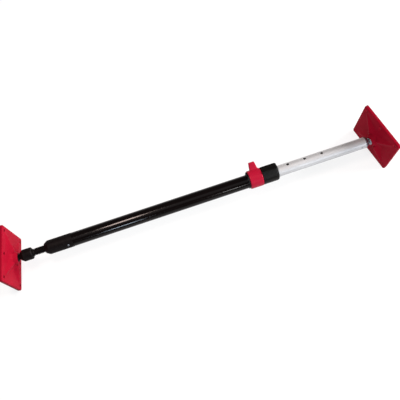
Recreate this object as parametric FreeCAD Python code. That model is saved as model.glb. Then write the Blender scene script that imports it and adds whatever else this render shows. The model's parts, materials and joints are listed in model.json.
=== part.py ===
import FreeCAD, Part
import math
import os
from FreeCAD import Placement, Rotation, Vector

# Telescoping doorway bar: a steel outer tube with a jack screw at the left end, a perforated
# inner tube at the right end, a cam ring that drops a lock pin into the inner tube's holes,
# and a square pressed wall plate on a ball joint at each end.
#
# Millimetres. +X runs along the bar towards the inner tube's end, +Z is up. The plates stand
# on their lower edges. The origin is on the floor, at the middle of the bounding box.
# Parts on the bar are first built on the X axis with the row of lock holes facing +Z, then
# rolled and lifted. Plate parts are built around the ball centre with +X towards the bar.

# tubes
OUTER_R = 19.05
INNER_R = 15.875
WALL = 1.6
RUN = 0.05
OUTER_BORE_R = OUTER_R - WALL
INNER_BORE_R = INNER_R - WALL
TUBE_LEFT = -400.0
NECK_END = -361.0
TUBE_RIGHT = 215.0
INNER_LEFT = -32.0
INNER_RIGHT = 497.0

# ball joints and wall plates
BALL_X = 519.0
BALL_R = 12.0
BALL_FLAT = 10.8
BALL_GAP = 0.15
SEAT_R = 14.4
SEAT_FRONT = 1.0
SEAT_BACK = -9.5
CAVITY_R = SEAT_R + BALL_GAP
SOCKET_R = BALL_R + BALL_GAP
PLATE = 150.0
SHEET = 2.0
PLATE_FACE = -11.0
SHEET_BACK = PLATE_FACE - SHEET
LIP_DEPTH = 7.0
LIP_END = SHEET_BACK - LIP_DEPTH
PAD_PROUD = 1.0
PAD_FACE = LIP_END - PAD_PROUD
PLATE_CORNER_R = 6.0
PLATE_EDGE_R = 1.6
HOLE_INSET = 13.0
HOLE_R = 4.25
YAW = 12.5

# boss of the plate, as distance from the ball centre and radius
BOSS_TOP = 6.5
LIP_START = 4.9
BOSS_TOP_R = 13.0
BOSS_SHOULDER = (5.0, 15.4)
BOSS_WAIST = (-3.0, 18.6)
BOSS_FLARE = (-8.2, 22.2)
BOSS_ROOT_R = 31.0
SPIGOT_R = 16.5
SPIGOT_TOP = -3.0
RETAINER_R = 27.0
RETAINER_T = 3.0
RETAINER_SCREW_PCR = 21.8
RETAINER_SCREW_R = 2.0
RETAINER_SCREW_LEN = 6.0
RETAINER_HEAD_R = 3.8
RETAINER_HEAD_T = 2.2
RETAINER_SCREWS = 4
PAD_OPENING_R = 33.0

# pressed ridges from the boss towards the corners: distance out, half width, height
RIDGE_INNER = (16.0, 12.0, 9.0)
RIDGE_OUTER = (78.0, 4.0, 0.6)
RIDGE_EMBED = 0.5

# jack screw, swivel head and nut
SCREW_R = 10.0
SCREW_LEFT = -472.0
SCREW_RIGHT = -340.0
SCREW_TAIL_R = 8.0
STOP_LEFT = -352.0
STOP_RIGHT = -342.0
STOP_R = 13.0
STOP_PIN_R = 2.0
JOURNAL_R = 7.0
JOURNAL_LEFT = -490.6
GROOVE_X = -482.0
GROOVE_HALF = 2.3
GROOVE_R = 5.0
HEAD_LEFT = -506.5
HEAD_RIGHT = -474.0
HEAD_R = 16.5
HEAD_CHAMFER = 2.2
HEAD_NOSE_LEN = 8.0
HEAD_NOSE_R = 10.5
HEAD_BORE_LEFT = -491.0
SHANK_R = 6.0
SHANK_DEPTH = 13.0
GRUB_R = 2.5
DOG_R = 2.0
DOG_TIP = 5.4
NUT_LEFT = -430.0
NUT_RIGHT = -402.0
NUT_R = 15.0
SLEEVE_LEFT = -438.0
SLEEVE_BEVEL = 10.0
SLEEVE_NOSE_R = 13.5
SLEEVE_R = 19.5
SLEEVE_HOLE_R = 10.4
RIVET_X = -374.5
RIVET_ANGLES = (104.0, -76.0)
RIVET_R = 2.0
RIVET_HEAD_R = 2.8
RIVET_HEAD_T = 1.0

# lock: housing, cam ring and pin
PIN_X = 163.6
PITCH = 50.8
HOLES_LEFT = 3
HOLES_RIGHT = 4
TUBE_HOLE_R = 4.1
PIN_R = 3.9
PIN_TIP = 16.1
PIN_TOP = 26.3
PIN_CHAMFER = 0.9
PIN_TRAVEL = 3.2
DOWEL_R = 1.0
DOWEL_HALF = 7.0
DOWEL_AT = 25.1
RING_TURN = 35.0
RING_LEFT = 149.0
RING_RIGHT = 186.0
RING_R = 25.9
RING_OFFSET = 1.9
RING_OFFSET_ANGLE = 25.0
RING_CHAMFER = 0.9
RING_GAP = 0.3
TRACK_MARGIN = 6.0
TRACK_STEPS = 8
POCKET_GAP = 0.4
POCKET_MARGIN = 12.0
GROOVE_SLEEVE_R = 20.6
HOUSING_LEFT = 144.0
HOUSING_RIGHT = 234.0
HOUSING_R = 23.3
HOUSING_TOP = 28.0
HOUSING_TOP_HALF = 12.5
HOUSING_CORNER_R = 4.0
COLLAR_R = 22.3
COLLAR_TOP = 26.4
HOUSING_NOSE = 6.0
HOUSING_MOUTH_R = INNER_R + 0.5
HOUSING_SCREW_XS = (192.0, 207.0)
HOUSING_SCREW_R = 2.0
HOUSING_SCREW_HEAD_R = 3.6
HOUSING_SCREW_HEAD_T = 1.8
LEVER_ANGLE = 30.0
LEVER_X = (157.5, 182.0)
LEVER_TIP_X = (159.5, 176.5)
LEVER_ROOT = 25.0
LEVER_TIP = 50.0
LEVER_T = 8.0
LEVER_ROUND = 2.4

# guide bushes, plug and right stud
FRONT_BUSH = (188.0, 215.0)
TAIL_BUSH_LEN = 28.0
PLUG_LEFT = 470.0
PLUG_NOSE = 507.0
PLUG_NOSE_R = 8.4
PLUG_DOME = (504.2, 13.275)
PLUG_RIVET_X = 483.0
PLUG_RIVET_ANGLES = (90.0, -90.0)
PLUG_RIVET_R = 2.0
PLUG_RIVET_HEAD_T = 0.6
PLUG_RIVET_DEPTH = 8.0
NECK_R = 6.25
STUD_JOURNAL_R = 5.0
STUD_END = 464.5
CLIP_R = 9.0
CLIP_GROOVE_R = 4.2
CLIP_T = 1.6
CLIP_GAP = 0.3
THRUST_GAP = 0.1

# roll of everything on the bar about its own axis, from lock holes up to how it lies
ROLL = 23.0
AXIS_Z = PLATE / 2

FLAT_WITHIN = 1e-4

X_AXIS = Vector(1, 0, 0)
Z_AXIS = Vector(0, 0, 1)
CENTRE = Vector(0, 0, 0)


# ---- shape helpers ----

def rod(x0, x1, radius):
    """Cylinder on the X axis from x0 to x1."""
    return Part.makeCylinder(radius, x1 - x0, Vector(x0, 0, 0), X_AXIS)


def pipe(x0, x1, radius, bore):
    """Tube on the X axis."""
    return rod(x0, x1, radius).cut(rod(x0, x1, bore))


def radial_rod(x, r0, r1, radius, angle=0.0):
    """Cylinder across the bar at x, from r0 to r1 out, turned from +Z towards +Y."""
    out = Vector(0, math.sin(math.radians(angle)), math.cos(math.radians(angle)))
    return Part.makeCylinder(radius, r1 - r0, Vector(x, 0, 0) + out * r0, out)


def ball(radius):
    """Sphere at the origin, with its poles on the X axis."""
    sphere = Part.makeSphere(radius)
    sphere.rotate(CENTRE, Vector(0, 1, 0), 90)
    return sphere


def revolve(edges):
    """Solid of revolution about X from the edges of a closed profile in the XZ plane."""
    face = Part.Face(Part.Wire(edges))
    return face.revolve(CENTRE, X_AXIS, 360)


def profile(points):
    """Closed straight-sided profile, as edges, from (x, radius) points."""
    corners = [Vector(x, 0, r) for x, r in points]
    return [Part.LineSegment(a, b).toShape() for a, b in zip(corners, corners[1:] + corners[:1])]


def block(x0, x1, half, corner_r):
    """Square block about the X axis with its four long edges rounded."""
    box = Part.makeBox(x1 - x0, 2 * half, 2 * half, Vector(x0, -half, -half))
    long_edges = [e for e in box.Edges if abs(e.tangentAt(e.FirstParameter).x) > 0.5]
    return box.makeFillet(corner_r, long_edges)


def rim_edges(shape, x):
    """Edges of a shape that lie in the plane at x."""
    return [e for e in shape.Edges
            if abs(e.BoundBox.XMin - x) < FLAT_WITHIN and abs(e.BoundBox.XMax - x) < FLAT_WITHIN]


def hull_face(x, circles):
    """Face at x bounded by the arcs and outer tangents of (y, z, r) circles, taken in turn."""
    count = len(circles)
    normals = []
    for i in range(count):
        y0, z0, r0 = circles[i]
        y1, z1, r1 = circles[(i + 1) % count]
        gap = math.hypot(y1 - y0, z1 - z0)
        normals.append(math.atan2(z1 - z0, y1 - y0) - math.acos((r0 - r1) / gap))
    edges = []
    for i in range(count):
        y0, z0, r0 = circles[i]
        start = normals[i - 1]
        end = normals[i]
        while end < start:
            end += 2 * math.pi
        mid = (start + end) / 2
        arc = [Vector(x, y0 + r0 * math.cos(a), z0 + r0 * math.sin(a)) for a in (start, mid, end)]
        y1, z1, r1 = circles[(i + 1) % count]
        landing = Vector(x, y1 + r1 * math.cos(end), z1 + r1 * math.sin(end))
        edges.append(Part.Arc(*arc).toShape())
        edges.append(Part.LineSegment(arc[2], landing).toShape())
    return Part.Face(Part.Wire(edges))


def raised_body(x0, x1, radius, top):
    """Round body with a flat raised back, along X from x0 to x1."""
    reach = HOUSING_TOP_HALF - HOUSING_CORNER_R
    level = top - HOUSING_CORNER_R
    circles = [(0.0, 0.0, radius), (reach, level, HOUSING_CORNER_R), (-reach, level, HOUSING_CORNER_R)]
    return hull_face(x0, circles).extrude(Vector(x1 - x0, 0, 0))


# ---- plate parts, around the ball centre, +X towards the bar ----

def hole_centres():
    """Screw hole places: the corners and the middles of the upper and lower edges."""
    reach = PLATE / 2 - HOLE_INSET
    return [(y, z) for y in (-reach, 0.0, reach) for z in (-reach, reach)]


def screw_holes():
    """Cylinders for the screw holes, through the plate and its pad."""
    depth = PLATE_FACE - PAD_FACE + 2
    drills = [Part.makeCylinder(HOLE_R, depth, Vector(PAD_FACE - 1, y, z), X_AXIS)
              for y, z in hole_centres()]
    return Part.makeCompound(drills)


def boss():
    """Trumpet-shaped boss that holds the ball."""
    top = Vector(BOSS_TOP, 0, BOSS_TOP_R)
    shoulder = Vector(BOSS_SHOULDER[0], 0, BOSS_SHOULDER[1])
    waist = Vector(BOSS_WAIST[0], 0, BOSS_WAIST[1])
    flare = Vector(BOSS_FLARE[0], 0, BOSS_FLARE[1])
    root = Vector(PLATE_FACE, 0, BOSS_ROOT_R)
    back = Vector(SHEET_BACK, 0, BOSS_ROOT_R)
    line = Part.LineSegment
    edges = [line(Vector(BOSS_TOP, 0, 0), top).toShape(),
             line(top, shoulder).toShape(),
             line(shoulder, waist).toShape(),
             Part.Arc(waist, flare, root).toShape(),
             line(root, back).toShape(),
             line(back, Vector(SHEET_BACK, 0, 0)).toShape(),
             line(Vector(SHEET_BACK, 0, 0), Vector(BOSS_TOP, 0, 0)).toShape()]
    return revolve(edges)


def socket():
    """Space inside the boss: ball lip, seat cavity and the retainer's bore."""
    cavity = ball(CAVITY_R).common(rod(SHEET_BACK - 2, LIP_START, CAVITY_R + 1))
    return ball(SOCKET_R).fuse(cavity).fuse(rod(SHEET_BACK - 2, SPIGOT_TOP, SPIGOT_R))


def ridge(angle):
    """One tapering ridge from the boss towards a corner of the plate."""
    wires = []
    base = PLATE_FACE - RIDGE_EMBED
    for out, half, height in (RIDGE_INNER, RIDGE_OUTER):
        corners = [Vector(base, -half, out), Vector(base, half, out), Vector(PLATE_FACE + height, 0, out)]
        wires.append(Part.makePolygon(corners + corners[:1]))
    solid = Part.makeLoft(wires, True, True)
    solid.rotate(CENTRE, X_AXIS, angle)
    return solid


def retainer_screw_places():
    """Screw axes of the retainer, as (y, z)."""
    step = 2 * math.pi / RETAINER_SCREWS
    return [(RETAINER_SCREW_PCR * math.sin(i * step), RETAINER_SCREW_PCR * math.cos(i * step))
            for i in range(RETAINER_SCREWS)]


def retainer_shanks(x0, x1):
    """Cylinders on the retainer's screw axes."""
    shanks = [Part.makeCylinder(RETAINER_SCREW_R, x1 - x0, Vector(x0, y, z), X_AXIS)
              for y, z in retainer_screw_places()]
    return Part.makeCompound(shanks)


def wall_plate():
    """Pressed square plate with a folded lip, ridges, boss and screw holes."""
    tray = block(LIP_END, PLATE_FACE, PLATE / 2, PLATE_CORNER_R)
    tray = tray.makeFillet(PLATE_EDGE_R, rim_edges(tray, PLATE_FACE))
    tray = tray.cut(block(LIP_END, SHEET_BACK, PLATE / 2 - SHEET, PLATE_CORNER_R - SHEET))
    plate = tray.fuse([boss()] + [ridge(45 + 90 * i) for i in range(4)])
    plate = plate.cut(socket())
    shanks = retainer_shanks(SHEET_BACK, SHEET_BACK + RETAINER_SCREW_LEN)
    return plate.cut(shanks).cut(screw_holes()).removeSplitter()


def plate_pad():
    """Rubber pad inside the lip, standing a little proud of it."""
    pad = block(PAD_FACE, SHEET_BACK, PLATE / 2 - SHEET, PLATE_CORNER_R - SHEET)
    return pad.cut(rod(PAD_FACE, SHEET_BACK, PAD_OPENING_R)).cut(screw_holes())


def ball_retainer():
    """Disc with a cupped spigot that closes the socket from the wall side."""
    disc = rod(SHEET_BACK - RETAINER_T, SHEET_BACK, RETAINER_R)
    cup = disc.fuse(rod(SHEET_BACK, SPIGOT_TOP, SPIGOT_R)).cut(ball(CAVITY_R))
    return cup.cut(retainer_shanks(SHEET_BACK - RETAINER_T, SHEET_BACK)).removeSplitter()


def retainer_screws():
    """Four button-head screws that hold the retainer."""
    seat_x = SHEET_BACK - RETAINER_T
    screws = []
    for y, z in retainer_screw_places():
        head = Part.makeCylinder(RETAINER_HEAD_R, RETAINER_HEAD_T,
                                 Vector(seat_x - RETAINER_HEAD_T, y, z), X_AXIS)
        length = RETAINER_T + RETAINER_SCREW_LEN
        shank = Part.makeCylinder(RETAINER_SCREW_R, length, Vector(seat_x, y, z), X_AXIS)
        screws.append(head.fuse(shank))
    return Part.makeCompound(screws)


def ball_seat():
    """Nylon shell between the ball and the socket."""
    shell = ball(SEAT_R).cut(ball(SOCKET_R))
    return shell.common(rod(SEAT_BACK, SEAT_FRONT, SEAT_R + 1))


# ---- studs, +X from the ball centre towards the bar ----

def stud_ball():
    """Ball with a flat on its far side, and the neck that leaves it."""
    return ball(BALL_R).common(rod(-BALL_FLAT, BALL_R, BALL_R + 1))


def left_stud():
    """Ball stud pressed into the swivel head."""
    neck = BALL_X + HEAD_LEFT
    shank = rod(neck, neck + SHANK_DEPTH, SHANK_R)
    return stud_ball().fuse([rod(0, neck, NECK_R), shank]).removeSplitter()


def right_stud():
    """Ball stud that turns in the end plug, with a clip groove near its tail."""
    shoulder = BALL_X - PLUG_NOSE - THRUST_GAP
    tail = BALL_X - STUD_END
    groove = BALL_X - PLUG_LEFT + CLIP_GAP
    body = stud_ball().fuse([rod(0, shoulder, NECK_R), rod(shoulder, tail, STUD_JOURNAL_R)])
    return body.cut(pipe(groove, groove + CLIP_T, STUD_JOURNAL_R + 1, CLIP_GROOVE_R)).removeSplitter()


def stud_clip():
    """Retaining clip on the right stud's tail."""
    groove = BALL_X - PLUG_LEFT + CLIP_GAP
    return pipe(groove, groove + CLIP_T, CLIP_R, CLIP_GROOVE_R)


# ---- parts on the bar, lock holes facing +Z ----

def outer_tube():
    """Main tube, necked down at its left end to enter the nut sleeve."""
    neck_bore = OUTER_BORE_R - WALL
    inner_step = NECK_END + WALL
    points = [(TUBE_LEFT, neck_bore), (TUBE_LEFT, OUTER_BORE_R), (NECK_END, OUTER_BORE_R),
              (NECK_END, OUTER_R), (TUBE_RIGHT, OUTER_R), (TUBE_RIGHT, OUTER_BORE_R),
              (inner_step, OUTER_BORE_R), (inner_step, neck_bore)]
    tube = revolve(profile(points))
    drills = [radial_rod(PIN_X, 0, OUTER_R + 1, PIN_R + RUN)]
    drills += [radial_rod(RIVET_X, 0, OUTER_R + 1, RIVET_R, angle) for angle in RIVET_ANGLES]
    drills += [radial_rod(x, 0, OUTER_R + 1, HOUSING_SCREW_R, 180) for x in HOUSING_SCREW_XS]
    return tube.cut(drills)


def nut_sleeve():
    """Bevelled collar that joins the nut to the tube."""
    points = [(SLEEVE_LEFT, SLEEVE_HOLE_R), (SLEEVE_LEFT, SLEEVE_NOSE_R),
              (SLEEVE_LEFT + SLEEVE_BEVEL, SLEEVE_R), (NECK_END, SLEEVE_R), (NECK_END, OUTER_BORE_R),
              (NUT_RIGHT, OUTER_BORE_R), (NUT_RIGHT, NUT_R), (NUT_LEFT, NUT_R),
              (NUT_LEFT, SLEEVE_HOLE_R)]
    sleeve = revolve(profile(points))
    drills = [radial_rod(RIVET_X, 0, SLEEVE_R + 1, RIVET_R, angle) for angle in RIVET_ANGLES]
    return sleeve.cut(drills)


def screw_nut():
    """Round nut pressed into the sleeve."""
    return pipe(NUT_LEFT, NUT_RIGHT, NUT_R, SCREW_R + RUN)


def sleeve_rivets():
    """Two rivets through the sleeve and the tube's neck."""
    inside = OUTER_BORE_R - WALL
    rivets = []
    for angle in RIVET_ANGLES:
        shank = radial_rod(RIVET_X, inside - RIVET_HEAD_T, SLEEVE_R + RIVET_HEAD_T, RIVET_R, angle)
        inner_head = radial_rod(RIVET_X, inside - RIVET_HEAD_T, inside, RIVET_HEAD_R, angle)
        inner_head = inner_head.common(rod(TUBE_LEFT, NECK_END, inside))
        outer_head = radial_rod(RIVET_X, SLEEVE_R, SLEEVE_R + RIVET_HEAD_T, RIVET_HEAD_R, angle)
        rivets.append(shank.fuse([inner_head, outer_head]).removeSplitter())
    return Part.makeCompound(rivets)


def jack_screw():
    """Screw with a grooved journal at its left end and a turned-down tail."""
    body = rod(SCREW_LEFT, STOP_LEFT, SCREW_R)
    body = body.fuse([rod(JOURNAL_LEFT, SCREW_LEFT, JOURNAL_R), rod(STOP_LEFT, SCREW_RIGHT, SCREW_TAIL_R)])
    body = body.cut(pipe(GROOVE_X - GROOVE_HALF, GROOVE_X + GROOVE_HALF, JOURNAL_R + 1, GROOVE_R))
    return body.cut(stop_pin()).removeSplitter()


def screw_stop():
    """Collar that keeps the screw from leaving the nut."""
    return pipe(STOP_LEFT, STOP_RIGHT, STOP_R, SCREW_TAIL_R).cut(stop_pin())


def stop_pin():
    """Cross pin through the collar and the screw's tail."""
    return radial_rod((STOP_LEFT + STOP_RIGHT) / 2, 1 - STOP_R, STOP_R - 1, STOP_PIN_R)


def swivel_head():
    """Tapered head that carries the left ball stud and lets the screw turn in it."""
    points = [(HEAD_LEFT, 0), (HEAD_LEFT, HEAD_NOSE_R), (HEAD_LEFT + HEAD_NOSE_LEN, HEAD_R),
              (HEAD_RIGHT - HEAD_CHAMFER, HEAD_R), (HEAD_RIGHT, HEAD_R - HEAD_CHAMFER), (HEAD_RIGHT, 0)]
    head = revolve(profile(points))
    shank_bore = rod(HEAD_LEFT, HEAD_LEFT + SHANK_DEPTH, SHANK_R)
    journal_bore = rod(HEAD_BORE_LEFT, HEAD_RIGHT, JOURNAL_R + RUN)
    return head.cut([shank_bore, journal_bore, radial_rod(GROOVE_X, 0, HEAD_R + 1, GRUB_R, 180)])


def head_grub_screw():
    """Dog-point grub screw that runs in the journal's groove."""
    body = radial_rod(GROOVE_X, JOURNAL_R + 2 * RUN, HEAD_R - 1, GRUB_R, 180)
    return body.fuse(radial_rod(GROOVE_X, DOG_TIP, JOURNAL_R + 2 * RUN, DOG_R, 180)).removeSplitter()


def thrust_washer():
    """Washer between the head and the screw's shoulder."""
    return pipe(HEAD_RIGHT, SCREW_LEFT, SCREW_R + 1, JOURNAL_R + RUN)


def end_housing():
    """Moulded housing: collar, thin sleeve under the ring, and a raised body with a round nose."""
    collar = raised_body(HOUSING_LEFT, RING_LEFT - RING_GAP, COLLAR_R, COLLAR_TOP)
    body = raised_body(RING_RIGHT + RING_GAP, HOUSING_RIGHT, HOUSING_R, HOUSING_TOP)
    body = body.makeFillet(HOUSING_NOSE, rim_edges(body, HOUSING_RIGHT))
    housing = body.fuse([collar, rod(HOUSING_LEFT, HOUSING_RIGHT - 2, GROOVE_SLEEVE_R)])
    housing = housing.cut(rod(HOUSING_LEFT, TUBE_RIGHT, OUTER_R))
    housing = housing.cut(rod(TUBE_RIGHT, HOUSING_RIGHT, HOUSING_MOUTH_R))
    drills = [radial_rod(x, 0, HOUSING_R + 1, HOUSING_SCREW_R, 180) for x in HOUSING_SCREW_XS]
    drills.append(radial_rod(PIN_X, 0, HOUSING_TOP, PIN_R + RUN))
    return housing.cut(drills).removeSplitter()


def housing_screws():
    """Two screws under the housing, into the tube's wall."""
    screws = []
    for x in HOUSING_SCREW_XS:
        shank = radial_rod(x, OUTER_BORE_R, HOUSING_R, HOUSING_SCREW_R, 180)
        shank = shank.cut(rod(HOUSING_LEFT, HOUSING_RIGHT, OUTER_BORE_R))
        top = HOUSING_R + HOUSING_SCREW_HEAD_T
        head = radial_rod(x, HOUSING_R, top, HOUSING_SCREW_HEAD_R, 180)
        screws.append(shank.fuse(head).removeSplitter())
    return Part.makeCompound(screws)


def lever():
    """Thumb lever that stands on the ring, tapering to its tip."""
    (root0, root1), (tip0, tip1) = LEVER_X, LEVER_TIP_X
    corners = [Vector(root0, -LEVER_T / 2, LEVER_ROOT), Vector(root1, -LEVER_T / 2, LEVER_ROOT),
               Vector(tip1, -LEVER_T / 2, LEVER_TIP), Vector(tip0, -LEVER_T / 2, LEVER_TIP)]
    solid = Part.Face(Part.makePolygon(corners + corners[:1])).extrude(Vector(0, LEVER_T, 0))
    free = [e for e in solid.Edges if e.BoundBox.ZMax > LEVER_ROOT + 1]
    solid = solid.makeFillet(LEVER_ROUND, free)
    solid.rotate(CENTRE, X_AXIS, -LEVER_ANGLE)
    return solid


def sector(x0, x1, r0, r1, angle0, angle1):
    """Part of a ring between two angles, which run from +Z towards +Y."""
    face = Part.Face(Part.Wire(profile([(x0, r0), (x1, r0), (x1, r1), (x0, r1)])))
    face.rotate(CENTRE, X_AXIS, -angle0)
    return face.revolve(CENTRE, X_AXIS, angle0 - angle1)


def cam_radius(angle):
    """Distance of the dowel's axis from the bar's axis where the ring's cam is at this angle."""
    return DOWEL_AT - PIN_TRAVEL * angle / RING_TURN


def cam_track(x0, x1):
    """Spiral groove that moves the dowel in as the ring turns."""
    half = DOWEL_R + BALL_GAP
    sweep = RING_TURN + 2 * TRACK_MARGIN
    angles = [-TRACK_MARGIN + sweep * i / TRACK_STEPS for i in range(TRACK_STEPS + 1)]

    def curve(offset):
        points = []
        for angle in angles:
            r = cam_radius(angle) + offset
            points.append(Vector(x0, r * math.sin(math.radians(angle)), r * math.cos(math.radians(angle))))
        spline = Part.BSplineCurve()
        spline.interpolate(points)
        return points, spline.toShape()

    outer_points, outer_edge = curve(half)
    inner_points, inner_edge = curve(-half)
    ends = [Part.LineSegment(outer_points[i], inner_points[i]).toShape() for i in (0, -1)]
    face = Part.Face(Part.Wire([outer_edge, ends[1], inner_edge, ends[0]]))
    return face.extrude(Vector(x1 - x0, 0, 0))


def lock_ring():
    """Eccentric ring with a thumb lever and an inner cam for the pin's dowel."""
    tilt = math.radians(RING_OFFSET_ANGLE)
    offset = Vector(0, RING_OFFSET * math.sin(tilt), RING_OFFSET * math.cos(tilt))
    disc = Part.makeCylinder(RING_R, RING_RIGHT - RING_LEFT, Vector(RING_LEFT, 0, 0) + offset, X_AXIS)
    rims = rim_edges(disc, RING_LEFT) + rim_edges(disc, RING_RIGHT)
    disc = disc.makeChamfer(RING_CHAMFER, rims)
    ring = disc.fuse(lever()).cut(rod(RING_LEFT, RING_RIGHT, GROOVE_SLEEVE_R + RUN))
    pocket_half = PIN_R + POCKET_GAP
    pocket_top = math.hypot(PIN_TOP, PIN_R - PIN_CHAMFER) + BALL_GAP
    pocket = sector(PIN_X - pocket_half, PIN_X + pocket_half, GROOVE_SLEEVE_R - 1, pocket_top,
                    -POCKET_MARGIN, RING_TURN + POCKET_MARGIN)
    track = cam_track(PIN_X - DOWEL_HALF - RING_GAP, PIN_X + DOWEL_HALF + RING_GAP)
    return ring.cut([pocket, track]).removeSplitter()


def lock_pin():
    """Plunger that drops into the inner tube's holes, shown lifted clear of them."""
    pin = radial_rod(PIN_X, PIN_TIP, PIN_TOP, PIN_R)
    ends = [e for e in pin.Edges if e.BoundBox.ZLength < FLAT_WITHIN]
    pin = pin.makeChamfer(PIN_CHAMFER, ends)
    return pin.cut(lock_pin_dowel())


def lock_pin_dowel():
    """Cross dowel in the plunger, which rides in the ring's cam."""
    dowel = rod(PIN_X - DOWEL_HALF, PIN_X + DOWEL_HALF, DOWEL_R)
    dowel.translate(Vector(0, 0, DOWEL_AT))
    return dowel


def front_bush():
    """Nylon guide inside the outer tube's mouth."""
    return pipe(FRONT_BUSH[0], FRONT_BUSH[1], OUTER_BORE_R, INNER_R + RUN)


def inner_tube():
    """Sliding tube with its row of lock holes."""
    tube = pipe(INNER_LEFT, INNER_RIGHT, INNER_R, INNER_BORE_R)
    drills = [radial_rod(PIN_X + i * PITCH, -INNER_R - 1, INNER_R + 1, TUBE_HOLE_R)
              for i in range(-HOLES_LEFT, HOLES_RIGHT + 1)]
    drills += [radial_rod(PLUG_RIVET_X, 0, INNER_R + 1, PLUG_RIVET_R, angle) for angle in PLUG_RIVET_ANGLES]
    return tube.cut(drills)


def tail_bush():
    """Nylon sleeve on the inner tube's tail, running in the outer tube."""
    return pipe(INNER_LEFT, INNER_LEFT + TAIL_BUSH_LEN, OUTER_BORE_R - RUN, INNER_R)


def end_plug():
    """Plug with a domed nose, in the inner tube's end."""
    mid = Vector(PLUG_DOME[0], 0, PLUG_DOME[1])
    corners = [Vector(PLUG_LEFT, 0, 0), Vector(PLUG_LEFT, 0, INNER_BORE_R),
               Vector(INNER_RIGHT, 0, INNER_BORE_R), Vector(INNER_RIGHT, 0, INNER_R)]
    nose = [Vector(PLUG_NOSE, 0, PLUG_NOSE_R), Vector(PLUG_NOSE, 0, 0)]
    edges = [Part.LineSegment(a, b).toShape() for a, b in zip(corners, corners[1:])]
    edges.append(Part.Arc(corners[-1], mid, nose[0]).toShape())
    edges.append(Part.LineSegment(nose[0], nose[1]).toShape())
    edges.append(Part.LineSegment(nose[1], corners[0]).toShape())
    plug = revolve(edges)
    drills = [radial_rod(PLUG_RIVET_X, PLUG_RIVET_DEPTH, INNER_R, PLUG_RIVET_R, angle)
              for angle in PLUG_RIVET_ANGLES]
    return plug.cut([rod(PLUG_LEFT, PLUG_NOSE, STUD_JOURNAL_R + RUN)] + drills)


def plug_rivets():
    """Two rivets that hold the plug in the inner tube."""
    top = INNER_R + PLUG_RIVET_HEAD_T
    rivets = [radial_rod(PLUG_RIVET_X, PLUG_RIVET_DEPTH, top, PLUG_RIVET_R, angle)
              for angle in PLUG_RIVET_ANGLES]
    return Part.makeCompound(rivets)


# ---- assembly ----

def on_bar(shape):
    """Roll a bar part to how it lies."""
    shape.rotate(CENTRE, X_AXIS, -ROLL)
    return shape


def at_end(shape, side, turn):
    """Place a shape built around the ball centre at the left (-1) or right (+1) ball."""
    facing = 0 if side < 0 else 180
    shape.Placement = Placement(Vector(side * BALL_X, 0, 0), Rotation(Z_AXIS, facing + side * turn))
    return shape


def build():
    """All nodes by name, on the bar's axis."""
    nodes = {}
    for part in (outer_tube, nut_sleeve, screw_nut, sleeve_rivets, jack_screw, screw_stop, stop_pin,
                 swivel_head, head_grub_screw, thrust_washer, end_housing, housing_screws, lock_ring,
                 lock_pin, lock_pin_dowel, front_bush, inner_tube, tail_bush, end_plug, plug_rivets):
        nodes[part.__name__] = on_bar(part())
    nodes["left_ball_stud"] = at_end(left_stud(), -1, 0)
    nodes["right_ball_stud"] = at_end(right_stud(), 1, 0)
    nodes["stud_clip"] = at_end(stud_clip(), 1, 0)
    for side, name in ((-1, "left"), (1, "right")):
        for part in (wall_plate, plate_pad, ball_retainer, retainer_screws, ball_seat):
            nodes[name + "_" + part.__name__] = at_end(part(), side, YAW)
    return nodes


def main():
    nodes = build()
    whole = Part.makeCompound(list(nodes.values())).BoundBox
    lift = Vector(0, -whole.Center.y, AXIS_Z)
    os.makedirs("parts", exist_ok=True)
    for name, shape in nodes.items():
        shape.translate(lift)
        shape.exportStep("parts/" + name + ".step")
        print(name, len(shape.Solids), "solids", round(shape.Volume, 1), "mm3", shape.isValid())
    print("bar axis at y", round(lift.y, 4), "z", lift.z)


main()
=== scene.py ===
import json
import math

import bmesh
import bpy
from mathutils import Matrix, Vector


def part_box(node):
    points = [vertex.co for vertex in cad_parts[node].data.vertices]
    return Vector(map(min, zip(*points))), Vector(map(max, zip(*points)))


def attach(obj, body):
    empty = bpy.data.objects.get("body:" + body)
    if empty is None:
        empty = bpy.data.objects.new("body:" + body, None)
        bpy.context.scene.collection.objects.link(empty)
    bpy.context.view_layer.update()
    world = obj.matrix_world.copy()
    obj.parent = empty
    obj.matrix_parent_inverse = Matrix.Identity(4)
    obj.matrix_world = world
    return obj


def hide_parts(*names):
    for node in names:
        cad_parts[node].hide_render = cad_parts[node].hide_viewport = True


# Looks of the telescoping doorway bar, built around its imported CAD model.
# Meshes are made in millimetres in one of two local frames, then placed in metres:
#   the bar frame has X along the bar and the row of lock holes facing +Z,
#   a plate frame has its origin at a ball centre and +X towards the bar.

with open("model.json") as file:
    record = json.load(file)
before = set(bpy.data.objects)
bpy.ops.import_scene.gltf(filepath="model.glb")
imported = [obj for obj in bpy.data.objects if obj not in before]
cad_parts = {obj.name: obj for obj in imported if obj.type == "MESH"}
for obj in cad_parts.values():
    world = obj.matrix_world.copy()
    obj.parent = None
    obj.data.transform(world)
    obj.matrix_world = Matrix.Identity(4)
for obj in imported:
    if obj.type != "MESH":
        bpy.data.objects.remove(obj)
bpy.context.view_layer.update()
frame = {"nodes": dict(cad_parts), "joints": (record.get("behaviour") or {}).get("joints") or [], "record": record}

MM = 0.001
SEGMENTS = 128
joints = {joint["name"]: joint for joint in frame["joints"]}
mounts = {mount["name"]: mount for mount in frame["record"]["mounts"]}
bar_axis = Vector(joints["screw_turn"]["pos_m"])
hole_direction = Vector(joints["pin_slide"]["axis"])
roll = math.atan2(hole_direction.y, hole_direction.z)
BAR = (Matrix.Translation((0, bar_axis.y, bar_axis.z)) @ Matrix.Rotation(-roll, 4, "X")
       @ Matrix.Scale(MM, 4))
SIDES = ("left", "right")
ball = {side: Vector(joints[side + "_plate_yaw"]["pos_m"]) for side in SIDES}
BALL_X = ball["right"].x / MM


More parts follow.
